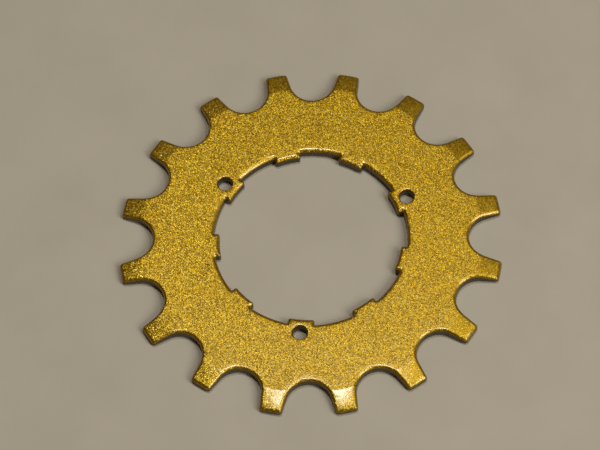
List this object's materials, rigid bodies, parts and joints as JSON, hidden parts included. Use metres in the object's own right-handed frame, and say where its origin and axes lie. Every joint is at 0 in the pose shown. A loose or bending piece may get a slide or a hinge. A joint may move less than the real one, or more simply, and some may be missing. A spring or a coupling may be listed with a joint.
{
  "type": "cassette sprocket",
  "caption": "Flat toothed bicycle sprocket with a splined bore, thinned tooth tips and small rivet holes, coated in gold metal flake.",
  "frame": {"origin": "centre of the bore on the back face, which is the bottom of the bounding box", "axes": "+Z along the bore axis from the back face to the front face, whose teeth are thinned most; +X along the centre line of one tooth"},
  "size_m": [0.0692, 0.0692, 0.0019],
  "materials": {
    "gold_coating": "gold metal-flake coating, glossy clear top, fine sparkling grain"
  },
  "bodies": {
    "root": {"sprocket": "gold_coating"}
  },
  "joints": []
}
